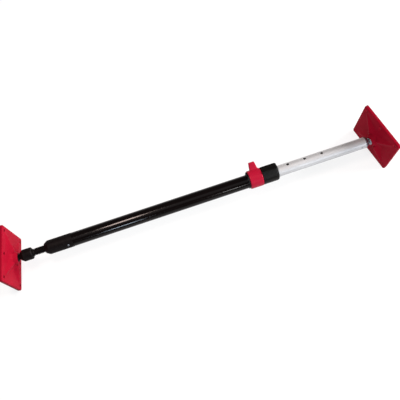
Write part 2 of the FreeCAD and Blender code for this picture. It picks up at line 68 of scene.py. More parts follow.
def plate_matrix(side):
    """Plate frame of one end: +X is the inner face's normal, towards the bar."""
    inward = -Vector(mounts[side + "_wall_face"]["axis"])
    up = Vector((0, 0, 1))
    turn = Matrix((inward, up.cross(inward), up)).transposed().to_4x4()
    return Matrix.Translation(ball[side]) @ turn @ Matrix.Scale(MM, 4)


def stud_matrix(side):
    """Frame of a ball stud at rest: +X from the ball centre along the bar, inwards."""
    facing = 0 if side == "left" else math.pi
    return Matrix.Translation(ball[side]) @ Matrix.Rotation(facing, 4, "Z") @ Matrix.Scale(MM, 4)


def span(node):
    """Lowest and highest X of a CAD node, in millimetres."""
    low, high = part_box(node)
    return low.x / MM, high.x / MM


# ---- mesh helpers ----

def rounded(corners, steps=5):
    """Closed profile from (x, r, fillet radius) corners, with each fillet as an arc."""
    points = []
    for i, (x, r, radius) in enumerate(corners):
        here = Vector((x, r))
        if radius <= 0:
            points.append(here)
            continue
        back = (Vector(corners[i - 1][:2]) - here).normalized()
        ahead = (Vector(corners[(i + 1) % len(corners)][:2]) - here).normalized()
        half = back.angle(ahead) / 2
        centre = here + (back + ahead).normalized() * radius / math.sin(half)
        start = here + back * radius / math.tan(half) - centre
        end = here + ahead * radius / math.tan(half) - centre
        total = start.angle(end)
        for k in range(steps + 1):
            t = k / steps
            arm = start * math.sin((1 - t) * total) + end * math.sin(t * total)
            points.append(centre + arm / math.sin(total))
    return points


def ring_mesh(rings, loop, matrix):
    """Mesh through rings of points. With loop the last ring joins the first, else the ends are capped."""
    bm = bmesh.new()
    rows = [[bm.verts.new(matrix @ Vector(point)) for point in ring] for ring in rings]
    pairs = list(zip(rows, rows[1:]))
    if loop:
        pairs.append((rows[-1], rows[0]))
    else:
        bm.faces.new(rows[0])
        bm.faces.new(rows[-1])
    for a, b in pairs:
        count = len(a)
        for i in range(count):
            j = (i + 1) % count
            bm.faces.new((a[i], a[j], b[j], b[i]))
    bmesh.ops.remove_doubles(bm, verts=bm.verts, dist=1e-7)
    bmesh.ops.recalc_face_normals(bm, faces=bm.faces)
    return bm


def join(parts):
    """One mesh from several."""
    whole = parts[0]
    for part in parts[1:]:
        spare = bpy.data.meshes.new("spare")
        part.to_mesh(spare)
        whole.from_mesh(spare)
        bpy.data.meshes.remove(spare)
        part.free()
    return whole


def new_object(name, bm, sharp=32):
    """Object from a mesh, smooth but for edges sharper than this many degrees."""
    mesh = bpy.data.meshes.new(name)
    bm.to_mesh(mesh)
    bm.free()
    mesh.shade_smooth()
    mesh.set_sharp_from_angle(angle=math.radians(sharp))
    obj = bpy.data.objects.new(name, mesh)
    bpy.context.scene.collection.objects.link(obj)
    return obj


def circle(x, radius, count=SEGMENTS, centre=(0.0, 0.0)):
    """Ring of points around the X axis."""
    turns = [2 * math.pi * i / count for i in range(count)]
    return [(x, centre[0] + radius * math.cos(a), centre[1] + radius * math.sin(a)) for a in turns]


def guarded(points, loop):
    """Profile with a point near both ends of each long side, so that shading stays true along it."""
    guard = 0.5
    out = []
    for i, point in enumerate(points):
        here = Vector(point)
        out.append(here)
        if i + 1 == len(points) and not loop:
            break
        side = Vector(points[(i + 1) % len(points)]) - here
        if side.length > 4 * guard:
            step = side.normalized() * guard
            out += [here + step, here + side - step]
    return out


def lathe(points, matrix, count=SEGMENTS):
    """Closed mesh of an (x, radius) profile turned about X."""
    return ring_mesh([circle(x, r, count) for x, r in guarded(points, True)], True, matrix)


def lathe_solid(points, matrix, count=SEGMENTS):
    """Closed mesh of an open (x, radius) profile turned about X, with flat ends."""
    return ring_mesh([circle(x, r, count) for x, r in guarded(points, False)], False, matrix)


def arc(centre, radius, start, end, steps):
    """(x, r) points of an arc; angles in degrees from +X."""
    angles = [math.radians(start + (end - start) * k / steps) for k in range(steps + 1)]
    return [(centre[0] + radius * math.cos(a), centre[1] + radius * math.sin(a)) for a in angles]


def hull_points(circles, inset=0.0, count=SEGMENTS):
    """Outline around (a, b, r) circles, drawn in by inset, as (a, b) points."""
    least = 0.5
    shrunk = []
    for a, b, r in circles:
        kept = max(r - inset, min(r, least))
        arm = math.hypot(a, b)
        share = 1 - (inset - (r - kept)) / arm if arm > 1e-9 else 1
        shrunk.append((a * share, b * share, kept))
    outline = []
    for i in range(count):
        c = math.cos(2 * math.pi * i / count)
        s = math.sin(2 * math.pi * i / count)
        a, b, r = max(shrunk, key=lambda item: item[0] * c + item[1] * s + item[2])
        outline.append((a + r * c, b + r * s))
    return outline


def eased(x0, x1, radius0, radius1, steps=6):
    """(x, inset) stations along a prism whose two ends are rounded over."""
    turns = [math.pi / 2 * k / steps for k in range(steps + 1)]
    start = [(x0 + radius0 * (1 - math.cos(t)), radius0 * (1 - math.sin(t))) for t in turns]
    end = [(x1 - radius1 * (1 - math.sin(t)), radius1 * (1 - math.cos(t))) for t in turns]
    return start + [(x0 + radius0 + 0.5, 0.0), (x1 - radius1 - 0.5, 0.0)] + end


def holder(bm):
    """Throw-away object that carries a boolean's tool."""
    mesh = bpy.data.meshes.new("tool")
    bm.to_mesh(mesh)
    bm.free()
    obj = bpy.data.objects.new("tool", mesh)
    bpy.context.scene.collection.objects.link(obj)
    return obj


def combine(obj, bm, operation="DIFFERENCE", sharp=32):
    """Cut an object with a mesh, or keep only what they share."""
    tool = holder(bm)
    modifier = obj.modifiers.new("cut", "BOOLEAN")
    modifier.operation = operation
    modifier.solver = "EXACT"
    modifier.object = tool
    graph = bpy.context.evaluated_depsgraph_get()
    mesh = bpy.data.meshes.new_from_object(obj.evaluated_get(graph))
    obj.modifiers.clear()
    old = obj.data
    obj.data = mesh
    mesh.shade_smooth()
    mesh.set_sharp_from_angle(angle=math.radians(sharp))
    tool_mesh = tool.data
    bpy.data.objects.remove(tool)
    bpy.data.meshes.remove(tool_mesh)
    bpy.data.meshes.remove(old)


def radial(x, r0, r1, radius, angle, count=48):
    """Cylinder across the bar, turned from the lock holes' side by angle."""
    turn = Matrix.Rotation(-math.radians(angle), 4, "X")
    rings = []
    for r in (r0, r1):
        turns = [2 * math.pi * i / count for i in range(count)]
        rings.append([(x + radius * math.cos(a), radius * math.sin(a), r) for a in turns])
    return ring_mesh(rings, False, BAR @ turn)


def place(obj, body, slot, *nodes):
    """Give a finished piece its body, its material and the CAD nodes it stands for."""
    obj.data.materials.clear()
    obj.data.materials.append(material[slot])
    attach(obj, body)
    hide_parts(*nodes)
    return obj


# ---- materials ----

def node(tree, kind, **settings):
    """Add a shader node and set its attributes, or its sockets by name."""
    made = tree.nodes.new(kind)
    for key, value in settings.items():
        if hasattr(made, key):
            setattr(made, key, value)
        else:
            made.inputs[key.replace("_", " ")].default_value = value
    return made


def noise(tree, coordinates, scale, stretch=(1, 1, 1), detail=4.0):
    """Noise over the object's own coordinates, stretched by axis."""
    mapping = node(tree, "ShaderNodeMapping")
    mapping.inputs["Scale"].default_value = stretch
    tree.links.new(coordinates, mapping.inputs["Vector"])
    made = node(tree, "ShaderNodeTexNoise")
    made.inputs["Scale"].default_value = scale
    made.inputs["Detail"].default_value = detail
    tree.links.new(mapping.outputs["Vector"], made.inputs["Vector"])
    return made.outputs["Fac"]


def ramp(tree, value, low, high, out_low, out_high):
    """Map a value's low..high to out_low..out_high."""
    made = node(tree, "ShaderNodeMapRange")
    for name, number in (("From Min", low), ("From Max", high), ("To Min", out_low), ("To Max", out_high)):
        made.inputs[name].default_value = number
    tree.links.new(value, made.inputs["Value"])
    return made.outputs["Result"]


def finish(slot, dark, light, patch, rough, grain, depth, stretch=(1, 1, 1), grain_stretch=None,
           scratches=None, **sockets):
    """Surface whose colour and roughness drift over patches, with a fine grain in its bump.

    patch and grain are noise scales per metre, rough is (low, high), depth is in millimetres.
    """
    mat = bpy.data.materials.new(slot)
    mat.use_nodes = True
    tree = mat.node_tree
    shader = tree.nodes["Principled BSDF"]
    for name, value in sockets.items():
        shader.inputs[name.replace("_", " ")].default_value = value
    coordinates = node(tree, "ShaderNodeTexCoord").outputs["Object"]
    broad = noise(tree, coordinates, patch, stretch)
    mix = node(tree, "ShaderNodeMix", data_type="RGBA")
    colours = [s for s in mix.inputs if s.type == "RGBA"]
    colours[0].default_value = (*dark, 1)
    colours[1].default_value = (*light, 1)
    tree.links.new(ramp(tree, broad, 0.3, 0.7, 0.0, 1.0), mix.inputs["Factor"])
    out = [s for s in mix.outputs if s.type == "RGBA"][0]
    tree.links.new(out, shader.inputs["Base Color"])
    fine = noise(tree, coordinates, grain, grain_stretch or stretch, 6.0)
    tree.links.new(ramp(tree, fine, 0.3, 0.7, rough[0], rough[1]), shader.inputs["Roughness"])
    height = fine
    if scratches:
        marks = noise(tree, coordinates, scratches, (1, 1, 1), 2.0)
        add = node(tree, "ShaderNodeMath", operation="ADD")
        tree.links.new(fine, add.inputs[0])
        tree.links.new(ramp(tree, marks, 0.2, 0.8, 0.0, 1.5), add.inputs[1])
        height = add.outputs[0]
    bump = node(tree, "ShaderNodeBump")
    bump.inputs["Strength"].default_value = 1.0
    bump.inputs["Distance"].default_value = depth * MM
    tree.links.new(height, bump.inputs["Height"])
    tree.links.new(bump.outputs["Normal"], shader.inputs["Normal"])
    return mat


DRAWN = (0.04, 1.0, 1.0)
material = {
    "red_coat": finish("red_coat", (0.215, 0.0026, 0.012), (0.245, 0.0036, 0.015), 30, (0.38, 0.5),
                       900, 0.05, scratches=240, Specular_IOR_Level=0.01),
    "gloss_black": finish("gloss_black", (0.0016, 0.0007, 0.0007), (0.0026, 0.0012, 0.0012), 25,
                          (0.10, 0.15), 260, 0.008, Specular_IOR_Level=0.15),
    "matt_black": finish("matt_black", (0.003, 0.0018, 0.0018), (0.0055, 0.0038, 0.0038), 120,
                         (0.45, 0.6), 1600, 0.06, Specular_IOR_Level=0.06),
    "zinc_tube": finish("zinc_tube", (0.45, 0.45, 0.455), (0.53, 0.53, 0.54), 40, (0.46, 0.56),
                        1500, 0.012, stretch=(0.3, 1.0, 1.0), grain_stretch=DRAWN, Metallic=0.5),
    "zinc_small": finish("zinc_small", (0.20, 0.21, 0.24), (0.30, 0.31, 0.34), 300, (0.30, 0.45),
                         2400, 0.02, Metallic=1.0),
    "bare_steel": finish("bare_steel", (0.17, 0.17, 0.17), (0.25, 0.245, 0.24), 200, (0.38, 0.52),
                         2200, 0.02, Metallic=1.0),
    "black_moulding": finish("black_moulding", (0.0022, 0.0018, 0.0017), (0.004, 0.0035, 0.0032), 90,
                             (0.28, 0.38), 2200, 0.04, Specular_IOR_Level=0.12),
    "red_moulding": finish("red_moulding", (0.31, 0.0045, 0.022), (0.345, 0.006, 0.026), 40,
                           (0.30, 0.40), 1400, 0.03, Specular_IOR_Level=0.1),
    "nylon": finish("nylon", (0.70, 0.68, 0.60), (0.80, 0.78, 0.71), 150, (0.38, 0.5), 1500, 0.03),
    "pad_rubber": finish("pad_rubber", (0.006, 0.006, 0.006), (0.014, 0.013, 0.013), 160,
                         (0.62, 0.82), 1800, 0.10, Specular_IOR_Level=0.04),
    "nut_bronze": finish("nut_bronze", (0.42, 0.27, 0.11), (0.56, 0.39, 0.18), 220, (0.26, 0.4),
                         1800, 0.02, Metallic=1.0),
}


# ---- bar pieces ----

OUTER_R = 19.05
OUTER_BORE_R = 17.45
INNER_R = 15.875
INNER_BORE_R = 14.275
SLEEVE_R = 19.5
SLEEVE_NOSE_R = 13.5
SLEEVE_BEVEL = 10.0
SLEEVE_HOLE_R = 10.4
NUT_R = 15.0
SCREW_R = 10.0
SCREW_CORE_R = 8.1
SCREW_TAIL_R = 8.0
THREAD_PITCH = 4.0
JOURNAL_R = 7.0
GROOVE = (-484.3, -479.7)
GROOVE_R = 5.0
SHANK_R = 6.0
HEAD_R = 16.5
HEAD_NOSE_R = 10.5
HEAD_NOSE_LEN = 8.0
RIVET_X = -374.5
PLUG_RIVET_X = 483.0
LOCK_PITCH = 50.8
LOCK_HOLES = range(-3, 5)
TUBE_HOLE_R = 4.1
GROOVE_SLEEVE_R = 20.6
HOUSING_MOUTH_R = INNER_R + 0.5
HOUSING_SCREW_XS = (192.0, 207.0)


def outer_tube():
    """Gloss black main tube, with the necked end that enters the sleeve."""
    left, right = span("outer_tube")
    step = span("nut_sleeve")[1]
    neck_bore = 2 * OUTER_BORE_R - OUTER_R
    corners = [(left, neck_bore, 0), (left, OUTER_BORE_R, 0), (step, OUTER_BORE_R, 0),
               (step, OUTER_R, 0.5), (right, OUTER_R, 0.3), (right, OUTER_BORE_R, 0),
               (step + 1.6, OUTER_BORE_R, 0), (step + 1.6, neck_bore, 0)]
    obj = new_object("outer_tube_shell", lathe(rounded(corners), BAR, 160))
    place(obj, "tube", "gloss_black", "outer_tube")


def nut_sleeve():
    """Matt black sleeve with its bevelled nose."""
    left, right = span("nut_sleeve")
    nut_left, nut_right = span("screw_nut")
    corners = [(left, SLEEVE_HOLE_R, 0.4), (left, SLEEVE_NOSE_R, 0.8),
               (left + SLEEVE_BEVEL, SLEEVE_R, 1.2), (right, SLEEVE_R, 0.5),
               (right, OUTER_BORE_R, 0), (nut_right, OUTER_BORE_R, 0), (nut_right, NUT_R, 0),
               (nut_left, NUT_R, 0), (nut_left, SLEEVE_HOLE_R, 0)]
    obj = new_object("nut_sleeve_shell", lathe(rounded(corners), BAR))
    place(obj, "tube", "matt_black", "nut_sleeve")


def domed_head(x, seat, radius, height, angle, name, body, slot, node_name):
    """Two domed heads on opposite sides of the bar, standing on a radius."""
    parts = []
    for side in (angle, angle + 180):
        turn = BAR @ Matrix.Rotation(-math.radians(side), 4, "X")
        turn = turn @ Matrix.Translation((x, 0, 0)) @ Matrix.Rotation(-math.pi / 2, 4, "Y")
        dome = [(seat - 1.5, radius), (seat, radius)]
        dome += [(seat + height * math.sin(t), radius * math.cos(t))
                 for t in (0.2, 0.45, 0.7, 0.95, 1.2, 1.4)]
        parts.append(lathe_solid(dome, turn, 40))
    place(new_object(name, join(parts)), body, slot, node_name)


def thread_ridge(x0, x1, pitch, root_r, crest_r, per_turn=40):
    """Closed helical ridge on the screw, fading out at both ends."""
    turns = (x1 - x0 - pitch) / pitch
    count = int(turns * per_turn)
    rings = []
    for i in range(count + 1):
        angle = 2 * math.pi * i / per_turn
        middle = x0 + pitch / 2 + pitch * i / per_turn
        fade = min(1.0, i / per_turn, (count - i) / per_turn)
        crest = root_r + (crest_r - root_r) * max(fade, 0.02)
        section = ((-0.40 * pitch, root_r - 0.3), (-0.17 * pitch, crest),
                   (0.17 * pitch, crest), (0.40 * pitch, root_r - 0.3))
        rings.append([(middle + dx, r * math.sin(angle), r * math.cos(angle)) for dx, r in section])
    return ring_mesh(rings, False, BAR)


def jack_screw():
    """Screw with a real trapezoidal thread, a plain journal and a turned-down tail."""
    left, right = span("jack_screw")
    head_right = span("swivel_head")[1]
    stop_left = span("screw_stop")[0]
    shoulder = head_right + 2.0
    points = [(left, 6.4), (left + 0.6, JOURNAL_R), (GROOVE[0], JOURNAL_R), (GROOVE[0], GROOVE_R),
              (GROOVE[1], GROOVE_R), (GROOVE[1], JOURNAL_R), (shoulder, JOURNAL_R), (shoulder, 9.4),
              (shoulder + 0.6, SCREW_R), (shoulder + 2.5, SCREW_R), (shoulder + 4.3, SCREW_CORE_R),
              (stop_left - 4.3, SCREW_CORE_R), (stop_left - 2.5, SCREW_R), (stop_left, SCREW_R),
              (stop_left, SCREW_TAIL_R), (right - 0.8, SCREW_TAIL_R), (right, 7.2)]
    core_mesh = lathe_solid(points, BAR, 96)
    ridge = thread_ridge(shoulder + 1.5, stop_left - 1.5, THREAD_PITCH, SCREW_CORE_R, SCREW_R)
    obj = new_object("jack_screw_thread", join([core_mesh, ridge]), 25)
    place(obj, "screw", "matt_black", "jack_screw")


def swivel_head():
    """Black head between the left ball stud and the screw."""
    left, right = span("swivel_head")
    corners = [(left, SHANK_R, 0), (left, HEAD_NOSE_R, 0.8), (left + HEAD_NOSE_LEN, HEAD_R, 2.0),
               (right - 1.8, HEAD_R, 1.0),
               (right, 14.8, 0.6), (right, JOURNAL_R + 0.05, 0), (left + 15.5, JOURNAL_R + 0.05, 0),
               (left + 15.5, SHANK_R, 0)]
    obj = new_object("swivel_head_shell", lathe(rounded(corners), BAR))
    place(obj, "head", "matt_black", "swivel_head")


def ball_studs():
    """Turned ball with its neck, shoulder and shank."""
    neck_r = 6.25
    left_neck = BALL_X + span("swivel_head")[0]
    plug_nose = BALL_X - span("end_plug")[1]
    tail = BALL_X - span("right_ball_stud")[0]
    clip_low, clip_high = (BALL_X - x for x in reversed(span("stud_clip")))
    ball_points = arc((0, 0), 12.0, 154, 31.4, 28)
    flat = [(-10.8, 0.8)]
    left_end = [(left_neck, neck_r), (left_neck, SHANK_R), (left_neck + 13, SHANK_R)]
    right_end = [(plug_nose - 0.1, neck_r), (plug_nose - 0.1, 5.0), (clip_low, 5.0), (clip_low, 4.2),
                 (clip_high, 4.2), (clip_high, 5.0), (tail - 0.6, 5.0), (tail, 4.4)]
    for side, body, slot, end in (("left", "head", "matt_black", left_end),
                                  ("right", "right_stud", "zinc_small", right_end)):
        mesh = lathe_solid(flat + ball_points + end, stud_matrix(side), 80)
        name = side + "_ball_stud"
        place(new_object(name + "_turned", mesh), body, slot, name)


HOUSING_CIRCLES = ((0.0, 0.0, 23.3), (8.5, 24.0, 4.0), (-8.5, 24.0, 4.0))
COLLAR_CIRCLES = ((0.0, 0.0, 20.9), (8.5, 22.4, 4.0), (-8.5, 22.4, 4.0))


def housing_section(circles, x0, x1, ease0, ease1, bore):
    """Part of the housing: a prism around circles with rounded ends; bore lists (x, r) from its far end."""
    rings = [[(x, a, b) for a, b in hull_points(circles, inset)] for x, inset in eased(x0, x1, ease0, ease1)]
    rings += [circle(x, r) for x, r in bore]
    return ring_mesh(rings, True, BAR)


def end_housing():
    """Moulded housing: collar, thin sleeve under the ring, and the raised body."""
    left, right = span("end_housing")
    ring_left, ring_right = span("lock_ring")
    tube_end = span("outer_tube")[1]
    collar = housing_section(COLLAR_CIRCLES, left, ring_left - 0.3, 1.2, 0.6,
                             [(ring_left - 0.3, OUTER_R), (left, OUTER_R)])
    body = housing_section(HOUSING_CIRCLES, ring_right + 0.3, right, 1.4, 6.0,
                           [(right, HOUSING_MOUTH_R), (tube_end, HOUSING_MOUTH_R), (tube_end, OUTER_R),
                            (ring_right + 0.3, OUTER_R)])
    sleeve = lathe([(ring_left - 1, OUTER_R), (ring_left - 1, GROOVE_SLEEVE_R),
                    (ring_right + 1, GROOVE_SLEEVE_R), (ring_right + 1, OUTER_R)], BAR)
    obj = new_object("end_housing_body", join([collar, body, sleeve]))
    place(obj, "tube", "black_moulding", "end_housing")


def housing_screws():
    """Pan heads under the housing, each with a cross recess."""
    parts = []
    for x in HOUSING_SCREW_XS:
        turn = BAR @ Matrix.Rotation(math.pi, 4, "X")
        turn = turn @ Matrix.Translation((x, 0, 0)) @ Matrix.Rotation(-math.pi / 2, 4, "Y")
        dome = [(22.6, 3.6), (24.2, 3.6), (24.8, 3.2), (25.1, 2.4)]
        parts.append(lathe_solid(dome, turn, 40))
    obj = new_object("housing_screw_heads", join(parts))
    crosses = []
    for x in HOUSING_SCREW_XS:
        for a, b in ((1.9, 0.35), (0.35, 1.9)):
            rings = [[(x - a, -b, z), (x + a, -b, z), (x + a, b, z), (x - a, b, z)] for z in (-24.2, -26.0)]
            crosses.append(ring_mesh(rings, False, BAR))
    for cross in crosses:
        combine(obj, cross)
    place(obj, "tube", "zinc_small", "housing_screws")


RING_R = 25.9
RING_OFFSET = 1.9
RING_OFFSET_ANGLE = 25.0
LEVER_ANGLE = 30.0


def lever_mesh():
    """Thumb lever: rounded block that tapers to its tip and flares into the ring."""
    turn = BAR @ Matrix.Rotation(-math.radians(LEVER_ANGLE), 4, "X")
    root, tip = 26.6, 50.0
    flare, tip_round = 2.6, 2.2
    root_span, tip_span, thick_half = (157.7, 181.6), (159.5, 176.5), 4.0
    turns = [math.pi / 2 * k / 6 for k in range(7)]
    levels = [(root - 3.0, flare)]
    levels += [(root + flare * (1 - math.cos(t)), flare * (1 - math.sin(t))) for t in turns]
    levels += [(tip - tip_round * (1 - math.sin(t)), -tip_round * (1 - math.cos(t))) for t in turns]
    rings = []
    for r, grow in levels:
        share = min(max((r - root) / (tip - root), 0), 1)
        low, high = (a + (b - a) * share for a, b in zip(root_span, tip_span))
        corner = 2.2
        drop = max(-grow - 1.6, 0)
        size = max(corner + grow, 0.6)
        circles = [(x, y, size) for x in (low + corner + drop, high - corner - drop)
                   for y in (corner + drop - thick_half, thick_half - corner - drop)]
        middle = (low + high) / 2
        outline = hull_points([(x - middle, y, c) for x, y, c in circles], 0.0, 72)
        rings.append([(middle + x, y, r) for x, y in outline])
    return ring_mesh(rings, False, turn)


def lock_ring():
    """Eccentric cam ring with its thumb lever."""
    left, right = span("lock_ring")
    tilt = math.radians(RING_OFFSET_ANGLE)
    centre = (RING_OFFSET * math.sin(tilt), RING_OFFSET * math.cos(tilt))
    rings = [circle(x, RING_R - inset, centre=centre) for x, inset in eased(left, right, 2.0, 2.0)]
    rings += [circle(right, GROOVE_SLEEVE_R + 0.05), circle(left, GROOVE_SLEEVE_R + 0.05)]
    obj = new_object("lock_ring_cam", join([ring_mesh(rings, True, BAR), lever_mesh()]))
    place(obj, "ring", "red_moulding", "lock_ring")


def inner_tube():
    """Silver tube with its row of lock holes."""
    left, right = span("inner_tube")
    corners = [(left, INNER_BORE_R, 0.2), (left, INNER_R, 0.3), (right, INNER_R, 0.4),
               (right, INNER_BORE_R, 0.2)]
    obj = new_object("inner_tube_shell", lathe(rounded(corners, 3), BAR, 160))
    pin_x = sum(span("lock_pin")) / 2
    holes = [radial(pin_x + i * LOCK_PITCH, -INNER_R - 1, INNER_R + 1, TUBE_HOLE_R, 0) for i in LOCK_HOLES]
    combine(obj, join(holes))
    place(obj, "slider", "zinc_tube", "inner_tube")


def end_plug():
    """Domed plug in the inner tube's end."""
    left, right = span("end_plug")
    tube_end = span("inner_tube")[1]
    nose = [(tube_end + (right - tube_end) * math.sin(t), 8.4 + (INNER_R - 8.4) * math.cos(t))
            for t in (0.0, 0.15, 0.3, 0.45, 0.6, 0.75, 0.9, 1.05, 1.2, 1.35, 1.5, math.pi / 2)]
    points = [(left, 5.05), (left, INNER_BORE_R - 0.5), (left + 0.5, INNER_BORE_R),
              (tube_end, INNER_BORE_R), (tube_end + 0.02, INNER_R - 0.3)]
    points += nose + [(right, 5.05)]
    obj = new_object("end_plug_dome", lathe(points, BAR))
    place(obj, "slider", "zinc_small", "end_plug")


# ---- plate pieces ----

PLATE_HALF = 75.0
PLATE_CORNER = 6.0
SHEET = 2.0
FACE = -11.0
LIP_END = -20.0
PAD_FACE = -21.0
BEND_R = 2.6
HOLE_REACH = 62.0
HOLE_R = 4.25
BOSS = ((6.5, 10.4), (6.5, 12.2), (6.1, 13.4), (5.2, 14.5), (3.6, 15.6), (1.2, 16.8), (-1.6, 18.1),
        (-4.2, 19.8), (-6.6, 22.2), (-8.6, 25.4))
BOSS_ROOT = 34.0
SPIGOT_R = 16.5
SPIGOT_TOP = -3.0
RIDGE_START = 16.0
RIDGE_BLEND = 8.0
RIDGE_SOFT = 1.6
EDGE_FADE = 6.0
EDGE_FADE_FROM = 40


def outline_angles():
    """Directions to evenly spaced points of a plate's rounded square outline."""
    straight = PLATE_HALF - PLATE_CORNER
    quarter = [(PLATE_HALF, -straight + 2 * straight * i / 46) for i in range(46)]
    for k in range(10):
        t = math.pi / 2 * k / 10
        quarter.append((straight + PLATE_CORNER * math.cos(t), straight + PLATE_CORNER * math.sin(t)))
    angles = []
    for turn in range(4):
        angles += [math.atan2(b, a) + turn * math.pi / 2 for a, b in quarter]
    return angles


ANGLES = outline_angles()


def outline_reach(angle, inset):
    """Distance from the centre to the outline drawn in by inset, in a direction."""
    half, corner = PLATE_HALF - inset, max(PLATE_CORNER - inset, 0.4)
    c, s = abs(math.cos(angle)), abs(math.sin(angle))
    big, small = max(c, s), min(c, s)
    reach = half / big
    core = half - corner
    if reach * small > core:
        along = core * (c + s)
        reach = along + math.sqrt(max(along * along - 2 * core * core + corner * corner, 0.0))
    return reach


def smooth_step(t):
    """Ease from 0 to 1 as t goes from 0 to 1."""
    t = min(max(t, 0.0), 1.0)
    return t * t * (3 - 2 * t)


def ridge_height(y, z):
    """Height of the four pressed ridges above the plate's face."""
    root_r, tip_r = 20.0, 84.0
    height = 0.0
    for sy in (1, -1):
        out = abs(y + sy * z) / math.sqrt(2)
        side = abs(y - sy * z) / math.sqrt(2)
        t = min(max((out - root_r) / (tip_r - root_r), 0.0), 1.0)
        crest = 12.5 * (1 - t) ** 0.9
        height = max(height, crest * smooth_step(1 - side / (15.0 * (1 - t) + 5.0)))
    return height


def plate_front(angle):
    """Points of one spoke of the plate's front, from the boss mouth to the outline."""
    steps = 40
    edge = outline_reach(angle, BEND_R)
    start = BOSS[-1][1]
    spoke = list(BOSS)
    for k in range(1, steps + 1):
        r = start + (edge - start) * k / steps
        flare = FACE + 2.4 * (1 - smooth_step((r - start) / (BOSS_ROOT - start))) ** 1.5
        spoke.append((flare, r))
    shaped = []
    for x, r in spoke:
        y, z = r * math.cos(angle), r * math.sin(angle)
        blend = smooth_step((r - RIDGE_START) / RIDGE_BLEND)
        ridge = FACE + ridge_height(y, z) * blend
        gap = abs(x - ridge)
        top = max(x, ridge)
        if blend > 0 and gap < RIDGE_SOFT:
            top += (RIDGE_SOFT - gap) ** 2 / (4 * RIDGE_SOFT) * blend
        if r > EDGE_FADE_FROM:
            top = FACE + (top - FACE) * smooth_step((edge - r) / EDGE_FADE)
        shaped.append((top, r))
    return shaped


def plate_spoke(angle):
    """Whole closed profile of the plate in one direction, as (x, r)."""
    spoke = plate_front(angle)
    for k in range(1, 7):
        t = math.pi / 2 * k / 6
        spoke.append((FACE - BEND_R * (1 - math.cos(t)), outline_reach(angle, BEND_R * (1 - math.sin(t)))))
    spoke.append((LIP_END + 0.5, outline_reach(angle, 0.0)))
    spoke.append((LIP_END, outline_reach(angle, 0.5)))
    spoke.append((LIP_END, outline_reach(angle, SHEET)))
    spoke.append((FACE - SHEET, outline_reach(angle, SHEET)))
    spoke += [(FACE - SHEET, SPIGOT_R), (SPIGOT_TOP, SPIGOT_R), (SPIGOT_TOP, 14.2), (0.0, 14.55),
              (3.0, 14.23), (4.9, 13.7), (4.9, 11.12)]
    return spoke


def wall_plate(side):
    """Pressed plate: boss, four ridges, folded lip and six screw holes."""
    matrix = plate_matrix(side)
    spokes = [plate_spoke(angle) for angle in ANGLES]
    rings = []
    for level in range(len(spokes[0])):
        ring = []
        for angle, spoke in zip(ANGLES, spokes):
            x, r = spoke[level]
            ring.append((x, r * math.cos(angle), r * math.sin(angle)))
        rings.append(ring)
    obj = new_object(side + "_wall_plate_pressing", ring_mesh(rings, True, matrix), 40)
    combine(obj, hole_drills(matrix, FACE + 4, LIP_END), sharp=40)
    place(obj, side + "_plate", "red_coat", side + "_wall_plate")


def hole_drills(matrix, x0, x1):
    """Drills for the six screw holes."""
    drills = []
    for y in (-HOLE_REACH, 0.0, HOLE_REACH):
        for z in (-HOLE_REACH, HOLE_REACH):
            shift = matrix @ Matrix.Translation((0, y, z))
            drills.append(lathe_solid([(x0, HOLE_R), (x1, HOLE_R)], shift, 40))
    return join(drills)


def plate_pad(side):
    """Rubber pad with upright ribs on its wall side, a round opening and the screw holes."""
    matrix = plate_matrix(side)
    back = FACE - SHEET
    half = PLATE_HALF - SHEET
    rib, groove, depth = 4.0, 1.6, 1.0
    count = int(2 * half / (rib + groove))
    start = -(count * (rib + groove) - groove) / 2
    comb = [(back, -half), (back, half), (PAD_FACE, half)]
    for i in reversed(range(count - 1)):
        low = start + i * (rib + groove) + rib
        comb += [(PAD_FACE, low + groove), (PAD_FACE + depth, low + groove - 0.3),
                 (PAD_FACE + depth, low + 0.3), (PAD_FACE, low)]
    comb.append((PAD_FACE, -half))
    rings = [[(x, y, z) for x, y in comb] for z in (-half, half)]
    obj = new_object(side + "_pad_ribbed", ring_mesh(rings, False, matrix), 20)
    rings = []
    for x in (back, PAD_FACE):
        rings.append([(x, outline_reach(a, SHEET) * math.cos(a), outline_reach(a, SHEET) * math.sin(a))
                      for a in ANGLES])
    combine(obj, ring_mesh(rings, False, matrix), "INTERSECT", 20)
    combine(obj, lathe_solid([(back + 1, 33.0), (PAD_FACE - 1, 33.0)], matrix), sharp=20)
    combine(obj, hole_drills(matrix, back + 1, PAD_FACE - 1), sharp=20)
    place(obj, side + "_plate", "pad_rubber", side + "_plate_pad")


def retainer(side):
    """Turned disc that closes the socket, with a raised rim and a spigot."""
    matrix = plate_matrix(side)
    back = FACE - SHEET
    corners = [(back - 3.0, 4.0, 0), (back - 3.0, 16.0, 0.3), (back - 2.4, 16.6, 0.3),
               (back - 2.4, 25.4, 0.3), (back - 3.0, 26.0, 0.3), (back - 3.0, 27.0, 0.4),
               (back, 27.0, 0.2), (back, 16.5, 0), (-3.0, 16.5, 0), (-3.0, 14.24, 0),
               (-8.0, 12.15, 0), (-12.0, 8.23, 0), (-14.0, 4.0, 0)]
    points = rounded(corners, 3)
    closing = [(back - 3.0, 0.6), (-14.5, 0.6)]
    obj = new_object(side + "_retainer_disc", lathe(points + closing[::-1], matrix, 96))
    place(obj, side + "_plate", "bare_steel", side + "_ball_retainer")


